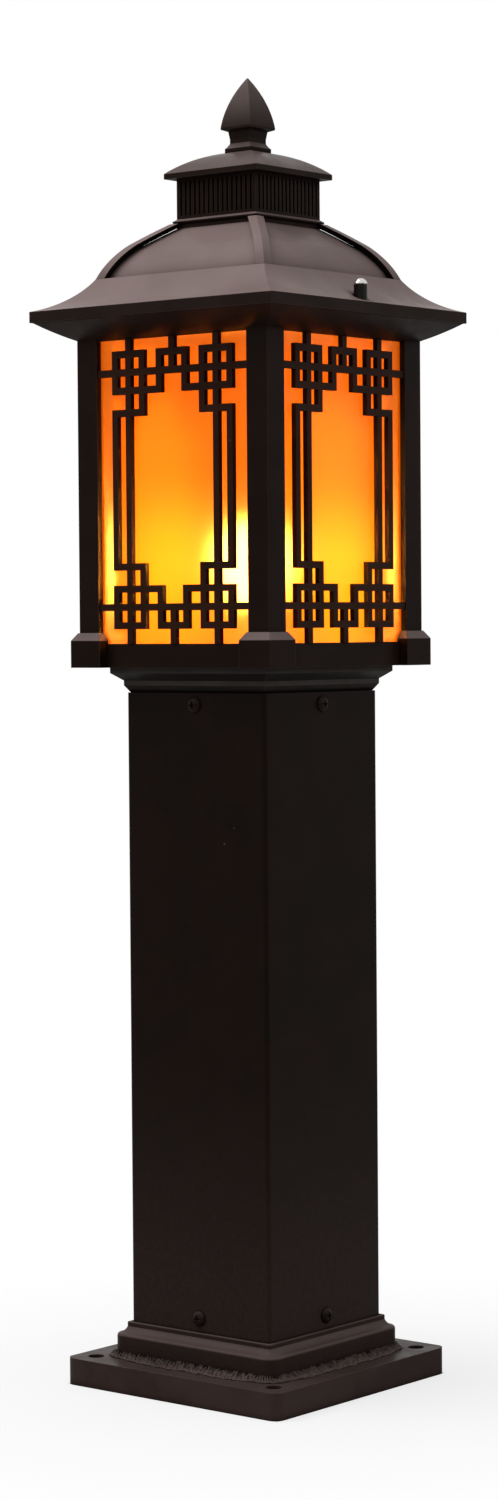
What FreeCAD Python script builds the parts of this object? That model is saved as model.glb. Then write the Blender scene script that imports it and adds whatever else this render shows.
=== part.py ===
"""A square garden lantern on a bolted-down column, lengths in millimetres.

The lamp stands on its base plate with the middle of the plate's underside at the origin and +Z up.
Its four sides face +X, -X, +Y and -Y. Every size is a cell of the sheet named Sizes. A level or a
half width that follows from others is written once, below the sheet, and used by each piece it touches.
"""
import FreeCAD, Part
import math
import os
import Sketcher
from FreeCAD import Placement, Rotation, Vector

SIZES = {
    # base plate and its holes
    "plate_width": 233.5, "plate_thickness": 23, "plate_corner": 9,
    "anchor_inset": 18.75, "anchor_hole": 14, "cable_hole": 40,
    # column tube and the square socket that it is screwed to
    "column_width": 152.4, "column_wall": 4, "column_corner": 3.5, "column_bore_corner": 1,
    "column_length": 570,
    "socket_height": 70, "socket_wall": 5, "socket_gap": 0.5, "socket_corner": 6, "socket_bore_corner": 3,
    # moulding round the foot of the column, and its weld
    "moulding_margin": 12, "collar_side": 17.5, "collar_shoulder": 3, "collar_height": 29.5,
    "ring_margin": 3, "ring_height": 4, "collar_gap": 0.3, "cove_radius": 9,
    "weld_width": 6, "weld_height": 5.5, "weld_radius": 11,
    # pan-head screws of the column
    "column_screw": 6, "column_screw_head": 13, "column_screw_rise": 3.6, "column_screw_length": 14,
    "column_screw_inset": 10, "column_screw_foot": 41, "recess_width": 1.4, "recess_length": 6.5,
    "recess_depth": 2,
    # neck moulding between column and lantern
    "spigot_length": 30, "spigot_wall": 5, "neck_height": 21.5, "neck_margin": 9.8, "neck_seat": 2.6,
    "neck_web": 6,
    "lower_bevel_height": 6.2, "lower_bevel_margin": 1.5, "fillet_height": 4, "upper_bevel_height": 6.5,
    "neck_hole": 96,
    "neck_bolt": 6, "neck_bolt_head": 11, "neck_bolt_rise": 4, "neck_bolt_pitch": 100,
    # tray under the lantern
    "tray_inset": 3, "tray_height": 20.2, "tray_floor": 4, "tray_wall": 10,
    # posts and their feet
    "lantern_width": 208, "post_width": 22, "post_embed": 9.7, "post_tenon": 7.5, "socket_slack": 0.1,
    "foot_width": 33, "foot_side": 22.9, "foot_chamfer": 6.6, "foot_land": 1,
    "post_screw": 5, "post_screw_head": 9.5, "post_screw_rise": 3, "post_screw_length": 20,
    "post_screw_sink": 6, "head_room": 1,
    # opening between the posts, its lattice and its glass
    "opening_height": 255.8, "bar_width": 6, "bar_depth": 4.6, "lattice_inset": 1.1,
    "stub_inset": 34.1, "column_pitch": 14.9, "centre_leg": 14,
    "lattice_top_gap": 12.5, "lattice_foot_gap": 15.3, "row_pitch": 15.4, "hook_drop": 18.6,
    "glass_thickness": 3, "glass_slack": 0.2, "glass_edge": 4.5, "glass_rise": 3.5, "slot_depth": 5,
    # frame on top of the posts
    "frame_height": 20.5, "frame_edge": 4.1, "frame_overhang": 26.3, "frame_ledge": 4,
    "soffit_inset": 3, "soffit_radius": 170, "channel_floor": 4, "channel_margin": 17.3,
    "channel_step": 3, "channel_rise": 9.5, "channel_end": 8,
    # gasket and roof
    "gasket_thickness": 1.5, "gasket_width": 15, "roof_gap": 0.3,
    "eave_margin": 2.3, "eave_height": 9.4, "eave_drop": 5.3, "skirt_rise": 27.7, "skirt_radius": 68,
    "skirt_run": 40.1, "seat_inset": 18.3,
    "rib_rise": 6, "rib_width": 9.5, "dome_wall": 2.5, "dome_lip": 5, "curb_height": 8,
    "shoulder_run": 19.8, "shoulder_rise": 28.7, "lower_dome_radius": 76, "upper_dome_radius": 400,
    "crown_run": 44.8, "crown_rise": 46.7, "crown_plate": 3,
    # vent, cap and finial
    "vent_inset": 4.4, "vent_height": 40.5, "vent_wall": 4, "vent_flange_margin": 2.7, "vent_flange": 4,
    "flute_count": 16, "flute_width": 2.2, "flute_depth": 1.6, "flute_margin": 2.5, "vent_web": 4,
    "cap_overhang": 7.7, "cap_side": 4.5, "cap_rise": 18, "cap_radius": 77, "cap_recess": 2.5,
    "cap_wall": 4, "vent_slack": 0.3,
    "finial_height": 63.5, "finial_foot": 28, "finial_foot_height": 3.5, "finial_neck": 21.8,
    "finial_neck_height": 11.5, "finial_throat": 8, "finial_lip": 33, "finial_lip_height": 21.5,
    "finial_edge": 1.8, "finial_swell": 1, "finial_tip": 0.8, "finial_radius": 100,
    "finial_cove": 12, "finial_bore_depth": 25,
    "tie_rod": 8, "tie_nut": 13, "tie_nut_height": 6.5, "tie_washer": 22, "tie_washer_thickness": 2,
    "tie_rod_tail": 12,
    # how far a solid that cuts runs past what it cuts
    "cut_margin": 1,
    # studs and domed nuts that hold the roof down
    "stud": 6, "stud_inset": 10.3, "stud_hole": 6.6, "stud_depth": 7, "spot_face": 14, "spot_rise": 4.5,
    "stud_washer": 12, "stud_washer_thickness": 1, "cap_nut": 11.4, "cap_nut_height": 19.2,
    "cap_nut_bore": 14, "cap_nut_dome": 4.56, "stud_rise": 12, "thread_gap": 0.05,
    # lampholder, bulb and wiring
    "bracket_length": 70, "bracket_width": 34, "bracket_thickness": 2, "bracket_screw": 4,
    "bracket_screw_head": 7.5, "bracket_screw_pitch": 56, "bracket_screw_rise": 2.6,
    "holder_width": 40, "holder_height": 47, "holder_foot": 30, "holder_shoulder": 12,
    "holder_base": 12,
    "bulb_cap": 26, "bulb_cap_length": 25, "bulb_contact": 12, "bulb_width": 60, "bulb_neck": 30,
    "bulb_height": 80, "bulb_gap": 0.4, "bulb_throat": 24, "bulb_flare": 8,
    "terminal_length": 34, "terminal_width": 18, "terminal_height": 15, "terminal_offset": 62,
    "terminal_hole": 4.5, "terminal_pitch": 11,
    "gland": 20, "gland_collar": 26, "gland_rise": 9, "gland_nut_rise": 5, "gland_offset": 34,
    "gland_bore": 10,
    "lead_width": 6, "lead_exit": 8, "lead_entry": 5, "lead_inside": 10,
    "earth_screw": 6, "earth_head": 11, "earth_rise": 4.5, "earth_offset": 62,
}

doc = FreeCAD.newDocument("garden_lantern")
sheet = doc.addObject("Spreadsheet::Sheet", "Sizes")
for line, (alias, length) in enumerate(SIZES.items(), 1):
    sheet.set(f"A{line}", str(length))
    sheet.setAlias(f"A{line}", alias)
doc.recompute()

PIECES = {}
QUARTERS = (0, 90, 180, 270)
# A pan head's upright edge is this share of its rise; its flat top and its bend are shares of its width.
PAN_EDGE, PAN_FLAT, PAN_BEND = 0.35, 0.22, 0.42
# Way in which the dome's wall is measured at its shoulder: inwards and downwards.
SHOULDER_IN, SHOULDER_DOWN = 0.75, 0.65


class Size:
    """A cell of the sheet, or a sum, product or share of such cells, as an expression."""

    def __init__(self, text):
        self.text = text

    def __add__(self, other):
        return Size(f"({self.text} + {written(other)})")

    def __sub__(self, other):
        return Size(f"({self.text} - {written(other)})")

    def __mul__(self, other):
        return Size(f"({self.text} * {written(other)})")

    def __truediv__(self, other):
        return Size(f"({self.text} / {written(other)})")

    def __neg__(self):
        return Size(f"(0 - {self.text})")

    def root(self):
        return Size(f"sqrt({self.text})")

    @property
    def number(self):
        return float(sheet.evalExpression(self.text))


def written(value):
    """The expression of a Size, or of a plain number."""
    return value.text if isinstance(value, Size) else repr(float(value))


def number(value):
    return value.number if isinstance(value, Size) else float(value)


class Names:
    """size.plate_width is the sheet's cell of that name."""

    def __getattr__(self, alias):
        return Size(f"Sizes.{alias}")


size = Names()

# Levels above the ground, from the foot up.
plate_top = size.plate_thickness
column_top = plate_top + size.column_length
tray_foot = column_top + size.neck_height
tray_top = tray_foot + size.tray_height
floor_top = tray_foot + size.tray_floor
lantern_top = tray_top + size.opening_height
frame_top = lantern_top + size.frame_height
roof_seat = frame_top + size.gasket_thickness
eave_bottom = roof_seat - size.eave_drop
eave_top = eave_bottom + size.eave_height
break_level = eave_top + size.skirt_rise
crown_level = break_level + size.crown_rise
vent_top = crown_level + size.vent_height
cap_bottom = vent_top - size.cap_recess
cap_edge = cap_bottom + size.cap_side
cap_top = cap_edge + size.cap_rise
spot_level = roof_seat + size.spot_rise
holder_seat = floor_top + size.bracket_thickness
holder_top = holder_seat + size.holder_height

# Half widths and offsets from the axis.
column_half = size.column_width / 2
column_inside = column_half - size.column_wall
spigot_half = column_inside - size.socket_gap
anchor_reach = size.plate_width / 2 - size.anchor_inset
lantern_half = size.lantern_width / 2
tray_half = lantern_half - size.tray_inset
opening_half = lantern_half - size.post_width
post_centre = lantern_half - size.post_width / 2
lattice_front = lantern_half - size.lattice_inset
glass_front = lattice_front - size.bar_depth
glass_back = glass_front - size.glass_thickness
moulding_half = column_half + size.moulding_margin
frame_half = lantern_half + size.frame_overhang
gasket_outer = frame_half - size.roof_gap * 2
gasket_inner = gasket_outer - size.gasket_width
stud_place = frame_half - size.stud_inset
eave_half = frame_half + size.eave_margin
break_half = eave_half - size.skirt_run
shoulder_half = break_half - size.shoulder_run
crown_half = break_half - size.crown_run
vent_half = crown_half - size.vent_inset
full_reach = eave_half * 3


def bind(piece, **lengths):
    """Ties properties of a piece to sizes; a double underscore stands for a point in a name."""
    for name, value in lengths.items():
        piece.setExpression(name.replace("__", "."), written(value))
    return piece


def keep(name, piece):
    """Makes a piece of the lamp out of a finished object."""
    piece.Label = name
    PIECES[name] = piece
    return piece


def box(name, low, high):
    """A block between two opposite corners."""
    piece = doc.addObject("Part::Box", name)
    for side, a, b in zip(("Length", "Width", "Height"), low, high):
        piece.setExpression(side, f"{written(b)} - {written(a)}")
    for axis, a in zip("xyz", low):
        piece.setExpression(f"Placement.Base.{axis}", written(a))
    return piece


def slab(name, half, low, high):
    """A square block round the axis."""
    return box(name, (-half, -half, low), (half, half, high))


def post(name, width, low, high, x=0, y=0):
    """An upright cylinder given by its diameter."""
    piece = doc.addObject("Part::Cylinder", name)
    bind(piece, Radius=Size(written(width)) / 2, Height=Size(written(high)) - low)
    bind(piece, Placement__Base__x=x, Placement__Base__y=y, Placement__Base__z=low)
    return piece


def hexagon(name, across, low, high, x=0, y=0):
    """An upright six-sided prism given by its width across the flats."""
    piece = doc.addObject("Part::Prism", name)
    piece.Polygon = 6
    bind(piece, Circumradius=Size(written(across)) / math.sqrt(3), Height=Size(written(high)) - low)
    bind(piece, Placement__Base__x=x, Placement__Base__y=y, Placement__Base__z=low)
    return piece


def joined(kind, name, shapes):
    piece = doc.addObject(kind, name)
    piece.Shapes = shapes
    return piece


def fuse(name, *shapes):
    piece = joined("Part::MultiFuse", name, list(shapes))
    piece.Refine = True
    return piece


def group(name, shapes):
    """Separate solids that are handled as one piece, such as a set of screws."""
    piece = doc.addObject("Part::Compound", name)
    piece.Links = list(shapes)
    return piece


def cut(name, base, *tools):
    piece = doc.addObject("Part::Cut", name)
    piece.Base = base
    piece.Tool = tools[0] if len(tools) == 1 else fuse(f"{name}_tools", *tools)
    return piece


def common(name, first, second):
    piece = doc.addObject("Part::Common", name)
    piece.Base = first
    piece.Tool = second
    return piece


def placed(name, source, turn=0, axis=(0, 0, 1), at=(0, 0, 0)):
    """The same solid again, turned about an axis through the origin and then moved."""
    piece = doc.addObject("Part::Compound", name)
    piece.Links = [source]
    piece.Placement = Placement(Vector(0, 0, 0), Rotation(Vector(*axis), turn))
    for letter, value in zip("xyz", at):
        if isinstance(value, Size):
            piece.setExpression(f"Placement.Base.{letter}", value.text)
    return piece


def four(name, source):
    """A solid and its copies a quarter turn apart, as separate solids of one piece."""
    return group(name, [placed(f"{name}_{turn}", source, turn) for turn in QUARTERS])


def arc_or_line(start, end, radius):
    """An edge from start to end; it bulges to the right of that way if radius is over 0."""
    if not radius:
        return Part.LineSegment(start, end)
    along = end - start
    left = Vector(-along.y, along.x, 0).normalize() * (1 if radius > 0 else -1)
    middle = (start + end) / 2
    centre = middle + left * math.sqrt(radius ** 2 - (along.Length / 2) ** 2)
    middle = centre - left * abs(radius)
    return Part.Arc(start, middle, end) if radius > 0 else Part.Arc(end, middle, start)


def add_loop(sketch, points, bends):
    """Draws a closed outline. Edge i leaves point i, and bends[i] is its radius if it is an arc."""
    spots = [Vector(number(x), number(y), 0) for x, y in points]
    count = len(spots)
    edges = [arc_or_line(spots[i], spots[(i + 1) % count], number(bends.get(i, 0))) for i in range(count)]
    first = sketch.GeometryCount
    sketch.addGeometry(edges, False)
    starts = [1 if edge.StartPoint.distanceToPoint(spot) < edge.EndPoint.distanceToPoint(spot) else 2
              for edge, spot in zip(edges, spots)]
    ties = []
    for i, (x, y) in enumerate(points):
        ties.append((Sketcher.Constraint("DistanceX", -1, 1, first + i, starts[i], spots[i].x), x))
        ties.append((Sketcher.Constraint("DistanceY", -1, 1, first + i, starts[i], spots[i].y), y))
    for i, radius in bends.items():
        bend = Size(written(radius)) if number(radius) > 0 else -Size(written(radius))
        ties.append((Sketcher.Constraint("Radius", first + i, bend.number), bend))
    joints = [Sketcher.Constraint("Coincident", first + i, 3 - starts[i],
                                  first + (i + 1) % count, starts[(i + 1) % count]) for i in range(count)]
    sketch.addConstraint(joints)
    tie(sketch, ties)


def tie(sketch, ties):
    """Adds dimensions to a sketch and ties each to its size."""
    for index, (_, length) in zip(sketch.addConstraint([constraint for constraint, _ in ties]), ties):
        sketch.renameConstraint(index, f"length_{index}")
        sketch.setExpression(f"Constraints.length_{index}", written(length))


def upright_sketch(name, points, bends=None):
    """An outline in the XZ plane; its points are (x, z)."""
    sketch = doc.addObject("Sketcher::SketchObject", name)
    sketch.Placement = Placement(Vector(0, 0, 0), Rotation(Vector(1, 0, 0), 90))
    add_loop(sketch, points, bends or {})
    return sketch


def prism(name, sketch, length, turn=0):
    """A sketch of the XZ plane drawn out along Y, half of the length to each side, then turned."""
    piece = doc.addObject("Part::Extrusion", name)
    piece.Base = sketch
    piece.DirMode = "Custom"
    piece.Dir = Vector(0, 1, 0)
    piece.Symmetric = True
    piece.Solid = True
    bind(piece, LengthFwd=length)
    piece.Placement = Placement(Vector(0, 0, 0), Rotation(Vector(0, 0, 1), turn))
    return piece


def both_sides(points, bends):
    """Completes the right half of an outline, given upwards, with its mirror image."""
    left = [(-Size(written(x)), z) for x, z in reversed(points)]
    count = len(points)
    mirrored = {2 * count - 2 - i: radius for i, radius in bends.items()}
    return points + left, {**bends, **mirrored}


def squared(name, points, bends=None):
    """A solid that is square at every level, with mitred corners; points are (half width, level)."""
    outline, arcs = both_sides(points, bends or {})
    sketch = upright_sketch(f"{name}_outline", outline, arcs)
    return common(name, prism(f"{name}_along", sketch, full_reach),
                  prism(f"{name}_across", sketch, full_reach, 90))


def turned(name, points, bends=None):
    """A solid of revolution about the Z axis; points are (radius, level)."""
    piece = doc.addObject("Part::Revolution", name)
    piece.Source = upright_sketch(f"{name}_outline", points, bends)
    piece.Axis = Vector(0, 0, 1)
    piece.Angle = 360
    piece.Solid = True
    return piece


def flat_sketch(body, name):
    """A sketch on the ground plane of a body."""
    sketch = body.newObject("Sketcher::SketchObject", name)
    plane = next(f for f in body.Origin.OriginFeatures if f.Role == "XY_Plane")
    sketch.AttachmentSupport = [(plane, "")]
    sketch.MapMode = "FlatFace"
    return sketch


def add_square(sketch, half, corner):
    """Draws a square with rounded corners round the origin, anticlockwise."""
    inner = half - corner
    points = []
    for turn in range(4):
        for a, b in ((half, inner), (inner, half)):
            for _ in range(turn):
                a, b = -b, a
            points.append((a, b))
    add_loop(sketch, points, {i: corner for i in range(0, 8, 2)})


def add_circle(sketch, diameter, x=0, y=0):
    middle = Vector(number(x), number(y), 0)
    radius = Size(written(diameter)) / 2
    index = sketch.addGeometry(Part.Circle(middle, Vector(0, 0, 1), radius.number))
    ties = [(Sketcher.Constraint("Radius", index, radius.number), radius)]
    if middle.Length:
        ties.append((Sketcher.Constraint("DistanceX", -1, 1, index, 3, middle.x), x))
        ties.append((Sketcher.Constraint("DistanceY", -1, 1, index, 3, middle.y), y))
    else:
        sketch.addConstraint(Sketcher.Constraint("Coincident", index, 3, -1, 1))
    tie(sketch, ties)


def pad(body, name, sketch, length):
    feature = body.newObject("PartDesign::Pad", name)
    feature.Profile = sketch
    return bind(feature, Length=length)


def drill(body, name, sketch, depth):
    """Cuts a sketch of the ground plane out of a body, upwards."""
    feature = body.newObject("PartDesign::Pocket", name)
    feature.Profile = sketch
    feature.Reversed = True
    return bind(feature, Length=depth)


def quarter_pattern(body, name, feature):
    """Repeats a feature every quarter turn about the axis."""
    pattern = body.newObject("PartDesign::PolarPattern", name)
    pattern.Originals = [feature]
    axis = next(f for f in body.Origin.OriginFeatures if f.Role == "Z_Axis")
    pattern.Axis = (axis, [""])
    pattern.Angle = 360
    pattern.Occurrences = 4
    body.Tip = pattern
    return pattern


def base_plate():
    """Thick plate with four anchor holes near its corners and a hole for the supply cable."""
    body = doc.addObject("PartDesign::Body", "base_plate")
    outline = flat_sketch(body, "plate_outline")
    add_square(outline, size.plate_width / 2, size.plate_corner)
    pad(body, "plate_pad", outline, size.plate_thickness)
    cable = flat_sketch(body, "cable_hole_outline")
    add_circle(cable, size.cable_hole)
    drill(body, "cable_hole_cut", cable, size.plate_thickness)
    anchor = flat_sketch(body, "anchor_hole_outline")
    add_circle(anchor, size.anchor_hole, anchor_reach, anchor_reach)
    doc.recompute()
    hole = drill(body, "anchor_hole_cut", anchor, size.plate_thickness)
    quarter_pattern(body, "anchor_holes", hole)
    keep("base_plate", body)


def square_tube(name, half, wall, corner, bore_corner, length):
    """An upright square tube with rounded corners, standing on the plate."""
    body = doc.addObject("PartDesign::Body", name)
    outline = flat_sketch(body, f"{name}_outline")
    add_square(outline, half, corner)
    add_square(outline, half - wall, bore_corner)
    pad(body, f"{name}_pad", outline, length)
    return placed(f"{name}_stood", body, at=(0, 0, plate_top))


def side_holes(name, diameter, level):
    """Two crossed cylinders that drill the four sides of a tube at one level."""
    reach = size.column_width * 1.5
    rod = post(f"{name}_rod", diameter, -reach / 2, reach / 2)
    lying = [placed(f"{name}_{axis}", rod, 90, axis, (0, 0, level)) for axis in ((1, 0, 0), (0, 1, 0))]
    return fuse(name, *lying)


def column():
    """Square tube, the socket inside its foot, and the screws that hold its two ends."""
    low_level = plate_top + size.column_screw_foot
    high_level = column_top - size.column_screw_inset
    low_holes = side_holes("low_screw_holes", size.column_screw, low_level)
    high_holes = side_holes("high_screw_holes", size.column_screw, high_level)
    tube = square_tube("column_tube", column_half, size.column_wall, size.column_corner,
                       size.column_bore_corner, size.column_length)
    keep("column", cut("column", tube, low_holes, high_holes))
    socket = square_tube("socket_tube", spigot_half, size.socket_wall, size.socket_corner,
                         size.socket_bore_corner, size.socket_height)
    keep("base_socket", cut("base_socket", socket, low_holes))
    for name, level in (("column_screws_lower", low_level), ("column_screws_upper", high_level)):
        screw = pan_screw(f"{name}_one", size.column_screw, size.column_screw_head,
                          size.column_screw_rise, size.column_screw_length)
        lying = placed(f"{name}_lying", screw, 90, (0, 1, 0), (column_half, 0, level))
        keep(name, four(name, lying))
    return high_holes


def pan_screw(name, thread, head, rise, length):
    """A cross-recess screw along Z: its head's underside is at 0 and its point is below."""
    radius = thread / 2
    body = turned(f"{name}_body", [(0, -length), (radius, -length), (radius, 0), (head / 2, 0),
                                   (head / 2, rise * PAN_EDGE), (head * PAN_FLAT, rise), (0, rise)],
                  {4: head * PAN_BEND})
    arm = size.recess_length * head / size.column_screw_head / 2
    half = size.recess_width / 2
    foot = rise - size.recess_depth
    top = rise + size.cut_margin
    slots = [box(f"{name}_slot_along", (-arm, -half, foot), (arm, half, top)),
             box(f"{name}_slot_across", (-half, -arm, foot), (half, arm, top))]
    return cut(name, body, *slots)


def collar():
    """Moulding round the column's foot and the weld bead that joins it to the plate."""
    side = moulding_half
    ring = column_half + size.ring_margin
    edge = size.ring_margin / 3
    centre = column_half + size.ring_margin / 2
    foot = plate_top
    shoulder = foot + size.collar_side
    top = foot + size.collar_height
    bore = slab("collar_bore", column_half + size.collar_gap, foot, top)
    form = rounded("collar_form", centre,
                   [(side, foot), (side, shoulder),
                    (side - size.collar_shoulder, shoulder + size.collar_shoulder),
                    (ring, top - size.ring_height), (ring, top - edge), (ring - edge, top)],
                   {1: size.collar_shoulder, 2: -size.cove_radius, 4: edge})
    keep("base_collar", cut("base_collar", form, bore))
    weld = rounded("weld_form", centre,
                   [(side + size.weld_width, foot), (side, foot + size.weld_height)], {0: size.weld_radius})
    within = rounded("weld_within", centre, [(side, foot), (side, top)])
    keep("weld_bead", cut("weld_bead", weld, within))


def rounded(name, inner, points, bends=None):
    """A solid like squared, but its outline turns round an upright line at each inner corner."""
    outline, arcs = both_sides(points, bends or {})
    sketch = upright_sketch(f"{name}_outline", outline, arcs)
    sides = [prism(f"{name}_side_{turn}", sketch, inner * 2, turn) for turn in (0, 90)]
    low, high = points[0][1], points[-1][1]
    edge = [(Size("0"), low)] + [(x - inner, z) for x, z in points] + [(Size("0"), high)]
    corner_edge = turned(f"{name}_edge", edge, {i + 1: radius for i, radius in (bends or {}).items()})
    corner_edge.Angle = 90
    corner_set = placed(f"{name}_corner", corner_edge, at=(inner, inner, 0))
    corners = [placed(f"{name}_corner_{turn}", corner_set, turn) for turn in QUARTERS]
    return fuse(name, *sides, *corners)


def neck(high_holes):
    """Hollow casting: a spigot inside the column, two bevels and a slab that carries the tray."""
    seat_half = column_inside + size.neck_seat / 2
    bevel_half = column_half + size.lower_bevel_margin
    slab_half = column_half + size.neck_margin
    bevel_top = column_top + size.lower_bevel_height
    fillet_top = bevel_top + size.fillet_height
    slab_foot = fillet_top + size.upper_bevel_height
    spigot_foot = column_top - size.spigot_length
    inside = spigot_half - size.spigot_wall
    solid = squared("neck_solid", [(spigot_half, spigot_foot), (spigot_half, column_top),
                                   (seat_half, column_top), (bevel_half, bevel_top),
                                   (bevel_half, fillet_top), (slab_half, slab_foot), (slab_half, tray_foot)])
    hollow = slab("neck_hollow", inside, spigot_foot, tray_foot - size.neck_web)
    way = post("neck_way", size.neck_hole, spigot_foot, tray_foot)
    reach = size.neck_bolt_pitch / 2
    bolt_hole = post("neck_bolt_hole", size.neck_bolt, column_top, floor_top, reach, reach)
    holes = four("neck_bolt_holes", bolt_hole)
    keep("neck", cut("neck", solid, hollow, way, holes, high_holes))
    shank = post("neck_bolt_shank", size.neck_bolt, tray_foot - size.neck_web, floor_top, reach, reach)
    head = hexagon("neck_bolt_top", size.neck_bolt_head, floor_top, floor_top + size.neck_bolt_rise,
                   reach, reach)
    keep("neck_bolts", four("neck_bolts", fuse("neck_bolt_one", shank, head)))
    return holes


def tray(bolt_holes):
    """Square tray with a low wall; its corners make room for the feet of the posts."""
    solid = slab("tray_solid", tray_half, tray_foot, tray_top)
    hollow = slab("tray_hollow", tray_half - size.tray_wall, floor_top, tray_top)
    inner = post_centre - size.foot_width / 2
    corner = box("tray_corner", (inner, inner, floor_top), (lantern_half, lantern_half, tray_top))
    corners = four("tray_corners", corner)
    screw_hole = post("tray_screw_hole", size.post_screw, tray_foot, floor_top, post_centre, post_centre)
    head_hole = countersink("tray_countersink", tray_foot)
    holes = four("tray_screw_holes", fuse("tray_screw_way", screw_hole, head_hole))
    gland_hole = post("tray_gland_hole", size.gland, tray_foot, floor_top, 0, size.gland_offset)
    bracket_holes = bracket_pair("tray_bracket_holes", post(
        "tray_bracket_hole", size.bracket_screw, tray_foot, floor_top, size.bracket_screw_pitch / 2, 0))
    earth_place = -size.earth_offset
    earth_hole = post("tray_earth_hole", size.earth_screw, tray_foot, floor_top, earth_place, earth_place)
    keep("lantern_tray", cut("lantern_tray", solid, hollow, corners, bolt_holes, holes, gland_hole,
                             bracket_holes, earth_hole))


def countersink(name, level):
    """The cone of a countersunk head whose face is at a level and looks down, at a post's centre."""
    wide = size.post_screw_head / 2
    narrow = size.post_screw / 2
    cone = turned(name, [(0, 0), (wide, 0), (narrow, wide - narrow), (0, wide - narrow)])
    return placed(f"{name}_set", cone, at=(post_centre, post_centre, level))


def bracket_pair(name, one):
    return group(name, [placed(f"{name}_{turn}", one, turn) for turn in (0, 180)])


def posts():
    """Four grooved posts, the chamfered feet they stand in, and the screws in their ends."""
    half = size.post_width / 2
    post_foot = tray_foot + size.post_embed
    post_head = lantern_top + size.post_tenon
    screw_seat = frame_top - size.post_screw_sink
    foot_half = size.foot_width / 2
    foot_edge = tray_foot + size.foot_side
    foot_top = foot_edge + size.foot_chamfer
    slack = size.socket_slack
    solid = box("post_solid", (opening_half, opening_half, post_foot),
                (lantern_half, lantern_half, post_head))
    grooves = glass_grooves("post_grooves", opening_half + size.slot_depth, post_foot, post_head)
    low_thread = post("post_thread_low", size.post_screw, tray_foot, tray_foot + size.post_screw_length,
                      post_centre, post_centre)
    high_thread = post("post_thread_high", size.post_screw, screw_seat - size.post_screw_length, frame_top,
                       post_centre, post_centre)
    bar = cut("post_bar", solid, grooves, low_thread, high_thread)
    block = squared("foot_block", [(foot_half, tray_foot), (foot_half, foot_edge),
                                   (half + size.foot_land, foot_top)])
    block_set = placed("foot_block_set", block, at=(post_centre, post_centre, 0))
    socket = box("foot_socket", (opening_half - slack, opening_half - slack, post_foot),
                 (lantern_half + slack, lantern_half + slack, foot_top))
    inner = post_centre - foot_half
    rebate = box("foot_rebate", (inner, inner, tray_foot), (tray_half, tray_half, floor_top))
    foot_slots = glass_grooves("foot_grooves", opening_half + size.slot_depth, tray_top, foot_top)
    foot = cut("foot_one", block_set, socket, rebate, foot_slots, low_thread)
    for turn in QUARTERS:
        corner = turn // 90 + 1
        keep(f"corner_post_{corner}", placed(f"corner_post_{corner}", bar, turn))
        keep(f"post_foot_{corner}", placed(f"post_foot_{corner}", foot, turn))
    shank = post("post_screw_shank", size.post_screw, tray_foot, tray_foot + size.post_screw_length,
                 post_centre, post_centre)
    low_screw = fuse("post_screw_low", shank, countersink("post_screw_head", tray_foot))
    keep("post_screws_lower", four("post_screws_lower", low_screw))
    screw = pan_screw("post_screw_pan", size.post_screw, size.post_screw_head,
                      size.post_screw_rise, size.post_screw_length)
    high_screw = placed("post_screw_high", screw, at=(post_centre, post_centre, screw_seat))
    keep("post_screws_upper", four("post_screws_upper", high_screw))


def glass_grooves(name, reach, low, high):
    """The two grooves of a post at +X +Y that take the edges of the panes beside it."""
    front = glass_front + size.glass_slack
    back = glass_back - size.glass_slack
    inner = post_centre - size.foot_width / 2 - size.cut_margin
    return fuse(name, box(f"{name}_x", (inner, back, low), (reach, front, high)),
                box(f"{name}_y", (back, inner, low), (front, reach, high)))


def lattice():
    """Fretwork of square bars in front of each pane: rings, hooks and long uprights."""
    middle = opening_half - size.stub_inset
    outer = middle + size.column_pitch
    inner = middle - size.column_pitch
    leg = size.centre_leg
    upper = [lantern_top - size.lattice_top_gap]
    lower = [tray_top + size.lattice_foot_gap]
    for step in (size.row_pitch, size.row_pitch, size.hook_drop):
        upper.append(upper[-1] - step)
        lower.append(lower[-1] + step)
    half = size.bar_width / 2
    front = -lattice_front
    back = -glass_front
    bars = []

    def upright(x, low, high):
        bars.append(box(f"bar_{len(bars)}", (x - half, front, low), (x + half, back, high)))

    def level(z, left, right):
        bars.append(box(f"bar_{len(bars)}", (left, front, z - half), (right, back, z + half)))

    for rows, edge in ((upper, lantern_top), (lower, tray_top)):
        ring, long_row, ring_end, hook = rows
        low, high = (long_row, edge) if rows is upper else (edge, long_row)
        upright(Size("0"), low, high)
        level(long_row, -opening_half, opening_half)
        level(ring, -leg - half, leg + half)
        for side in (-1, 1):
            ends = sorted((ring, ring_end), key=number)
            drop = sorted((ring, hook), key=number)
            upright(leg * side, ends[0] - half, ends[1] + half)
            upright(outer * side, ends[0] - half, ends[1] + half)
            upright(inner * side, drop[0] - half, drop[1] + half)
            span = sorted((outer * side, inner * side), key=number)
            level(ring, span[0] - half, span[1] + half)
            level(hook, span[0] - half, span[1] + half)
            wide = sorted((outer * side, leg * side), key=number)
            level(ring_end, wide[0] - half, wide[1] + half)
    for side in (-1, 1):
        upright(middle * side, tray_top, lantern_top)
        upright(outer * side, lower[-1] - half, upper[-1] + half)
    fret = fuse("fret", *bars)
    pane = box("pane", (-opening_half - size.glass_edge, -glass_front, tray_top),
               (opening_half + size.glass_edge, -glass_back, lantern_top + size.glass_rise))
    for turn, side in zip(QUARTERS, ("front", "right", "back", "left")):
        keep(f"lattice_{side}", placed(f"lattice_{side}", fret, turn))
        keep(f"glass_{side}", placed(f"glass_{side}", pane, turn))


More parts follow.
